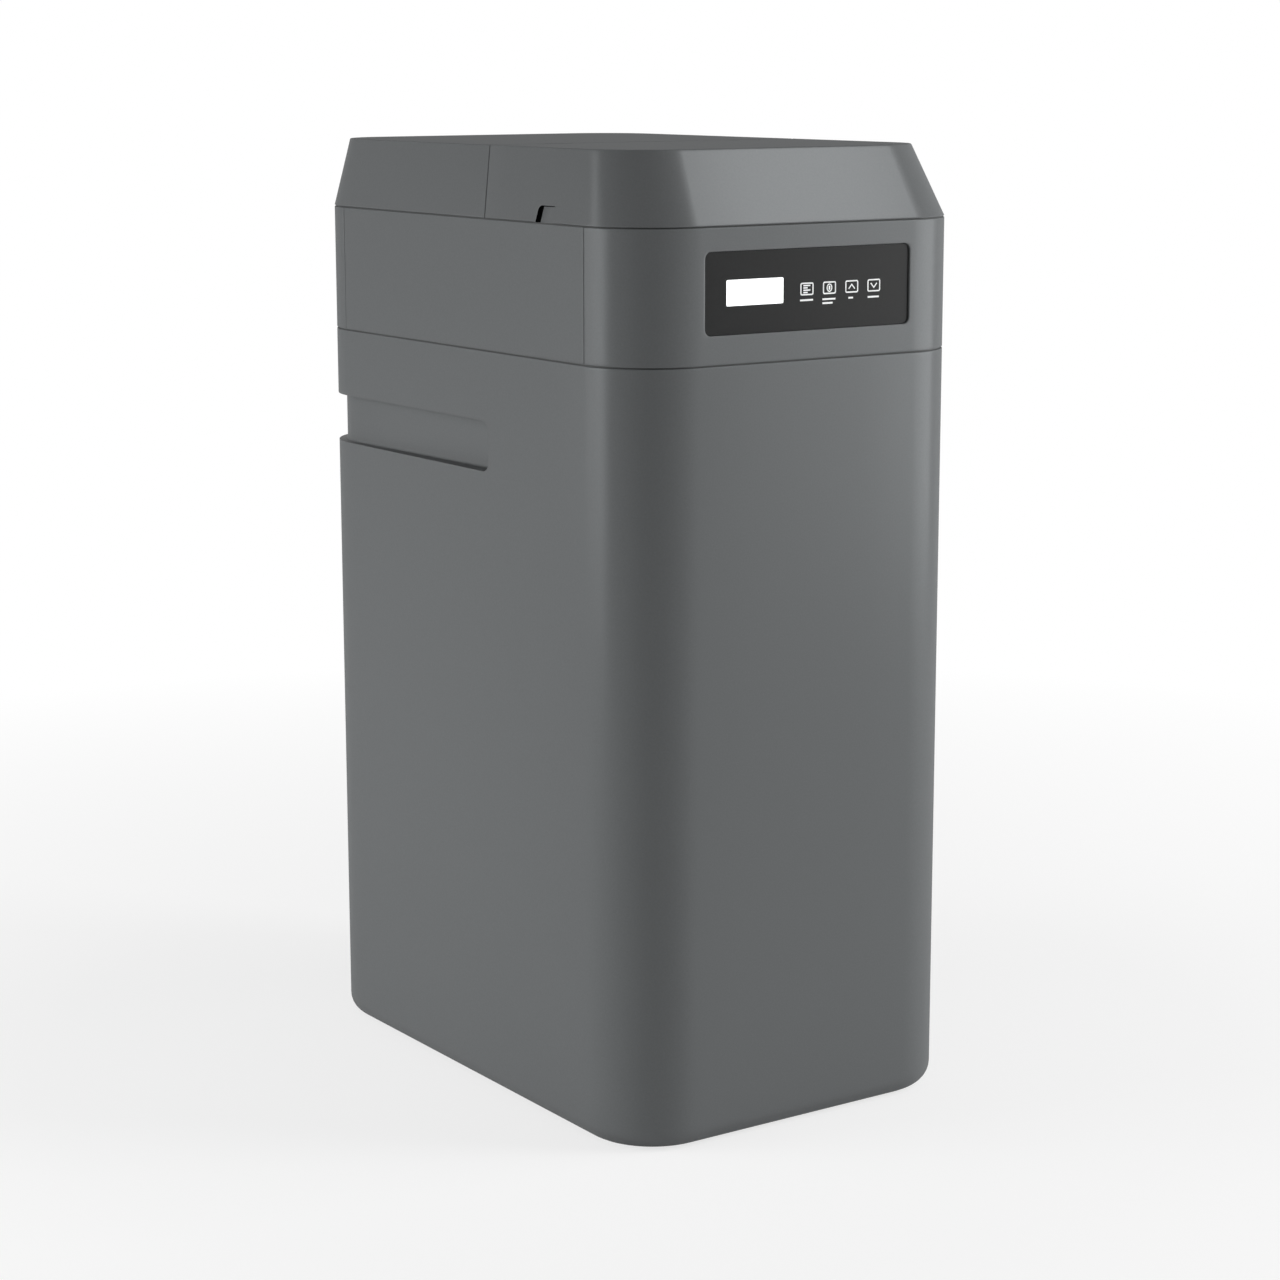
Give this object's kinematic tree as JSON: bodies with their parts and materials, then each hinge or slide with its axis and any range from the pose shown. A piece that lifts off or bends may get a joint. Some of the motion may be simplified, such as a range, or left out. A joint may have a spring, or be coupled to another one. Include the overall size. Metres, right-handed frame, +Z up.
{
  "type": "cabinet water softener",
  "caption": "Free-standing cabinet water softener: rounded salt tub with hand grips, hinged salt lid, key panel with display, resin tank, motor valve and bypass.",
  "frame": {"origin": "on the floor under the middle of the cabinet's plan", "axes": "+Z up, -Y to the front with the control panel, +Y to the pipes, +X to the right seen from the front"},
  "size_m": [0.32, 0.542, 0.748],
  "materials": {
    "housing_grey": "satin moulded",
    "frame_grey": "moulded",
    "panel_black": "satin gloss",
    "display": "clear lens, lit white",
    "board_green": "solder mask",
    "fitting_black": "glass-filled moulded",
    "white_plastic": "moulded",
    "tank_blue": "wound fibre vessel",
    "resin_amber": "beads",
    "rubber_black": "moulded",
    "steel": "zinc plated",
    "motor_steel": "drawn can",
    "brass": "machined",
    "gear_nylon": "moulded",
    "piston_grey": "coated",
    "knob_red": "moulded",
    "turbine_blue": "moulded"
  },
  "bodies": {
    "cabinet": {"cabinet": "housing_grey", "head_frame": "frame_grey", "front_fascia": "housing_grey", "left_side_panel": "housing_grey", "right_side_panel": "housing_grey", "rear_panel": "housing_grey", "panel_screws": "steel", "overflow_fitting": "fitting_black", "overflow_nut": "fitting_black", "control_panel": "panel_black", "display_window": "display", "display_module": "display", "circuit_board": "board_green", "key_switches": "fitting_black", "electronics_housing": "frame_grey", "housing_screws": "steel", "power_socket": "fitting_black", "supply_cable": "rubber_black", "resin_tank": "tank_blue", "tank_base": "fitting_black", "resin_bed": "resin_amber", "riser_tube": "white_plastic", "bottom_distributor": "white_plastic", "top_screen": "white_plastic", "neck_seal": "rubber_black", "valve_body": "fitting_black", "seal_stack": "white_plastic", "drive_cap": "fitting_black", "drive_cap_screws": "steel", "reduction_axle": "steel", "drive_motor": "motor_steel", "drive_bracket": "frame_grey", "injector": "white_plastic", "injector_cap": "fitting_black", "turbine_cage": "white_plastic", "drain_elbow": "fitting_black", "brine_elbow": "white_plastic", "brine_line": "white_plastic", "bypass_body": "fitting_black", "union_nuts": "fitting_black", "brine_well": "white_plastic", "well_cap": "fitting_black", "brine_valve": "white_plastic", "salt_platform": "white_plastic"},
    "rear_cover": {"rear_cover": "housing_grey"},
    "salt_lid": {"salt_lid": "housing_grey", "hinge_pins": "steel"},
    "key_menu": {"key_menu": "panel_black"},
    "key_regenerate": {"key_regenerate": "panel_black"},
    "key_up": {"key_up": "panel_black"},
    "key_down": {"key_down": "panel_black"},
    "inlet_knob": {"inlet_knob": "knob_red"},
    "outlet_knob": {"outlet_knob": "knob_red"},
    "main_gear": {"main_gear": "gear_nylon"},
    "reduction_gear": {"reduction_gear": "gear_nylon"},
    "motor_pinion": {"motor_pinion": "brass"},
    "piston": {"piston": "piston_grey"},
    "flow_turbine": {"flow_turbine": "turbine_blue"},
    "brine_float": {"brine_float": "white_plastic", "float_rod": "white_plastic"}
  },
  "joints": [
    {"name": "rear_cover_lift", "type": "slide", "parent": "cabinet", "child": "rear_cover", "axis": [0, 0, 1], "range_m": [0, 0.12]},
    {"name": "salt_lid_hinge", "type": "hinge", "parent": "rear_cover", "child": "salt_lid", "pos_m": [0, -0.03176, 0.744], "axis": [-1, 0, 0], "range_deg": [0, 95]},
    {"name": "key_menu_press", "type": "slide", "parent": "cabinet", "child": "key_menu", "axis": [0, 1, 0], "range_m": [0, 0.0006], "stiffness_N_per_m": 1500, "springref_m": -0.0003},
    {"name": "key_regenerate_press", "type": "slide", "parent": "cabinet", "child": "key_regenerate", "axis": [0, 1, 0], "range_m": [0, 0.0006], "stiffness_N_per_m": 1500, "springref_m": -0.0003},
    {"name": "key_up_press", "type": "slide", "parent": "cabinet", "child": "key_up", "axis": [0, 1, 0], "range_m": [0, 0.0006], "stiffness_N_per_m": 1500, "springref_m": -0.0003},
    {"name": "key_down_press", "type": "slide", "parent": "cabinet", "child": "key_down", "axis": [0, 1, 0], "range_m": [0, 0.0006], "stiffness_N_per_m": 1500, "springref_m": -0.0003},
    {"name": "inlet_knob_turn", "type": "hinge", "parent": "cabinet", "child": "inlet_knob", "pos_m": [0.041, 0.258, 0.5022], "axis": [0, 0, 1], "range_deg": [0, 90]},
    {"name": "outlet_knob_turn", "type": "hinge", "parent": "cabinet", "child": "outlet_knob", "pos_m": [-0.041, 0.258, 0.5022], "axis": [0, 0, -1], "range_deg": [0, 90]},
    {"name": "main_gear_turn", "type": "hinge", "parent": "cabinet", "child": "main_gear", "pos_m": [0, 0.029, 0.5582], "axis": [0, 1, 0], "range_deg": [0, 360]},
    {"name": "reduction_gear_turn", "type": "hinge", "parent": "cabinet", "child": "reduction_gear", "pos_m": [0.02765, 0.025, 0.5814], "axis": [0, 1, 0], "range_deg": [-1801, 1]},
    {"name": "motor_pinion_turn", "type": "hinge", "parent": "cabinet", "child": "motor_pinion", "pos_m": [0.05336, 0.021, 0.58594], "axis": [0, 1, 0], "range_deg": [-1, 6002]},
    {"name": "piston_slide", "type": "slide", "parent": "cabinet", "child": "piston", "axis": [0, 1, 0], "range_m": [0, 0.04]},
    {"name": "flow_turbine_spin", "type": "hinge", "parent": "cabinet", "child": "flow_turbine", "pos_m": [-0.041, 0.151, 0.5022], "axis": [0, 1, 0], "continuous": true},
    {"name": "brine_float_rise", "type": "slide", "parent": "cabinet", "child": "brine_float", "axis": [0, 0, 1], "range_m": [0, 0.04]}
  ],
  "couplings": [
    {"joint": "reduction_gear_turn", "follows": "main_gear_turn", "ratio": -5},
    {"joint": "motor_pinion_turn", "follows": "main_gear_turn", "ratio": 16.667},
    {"joint": "piston_slide", "follows": "main_gear_turn", "m_per_rad": 0.006366}
  ]
}
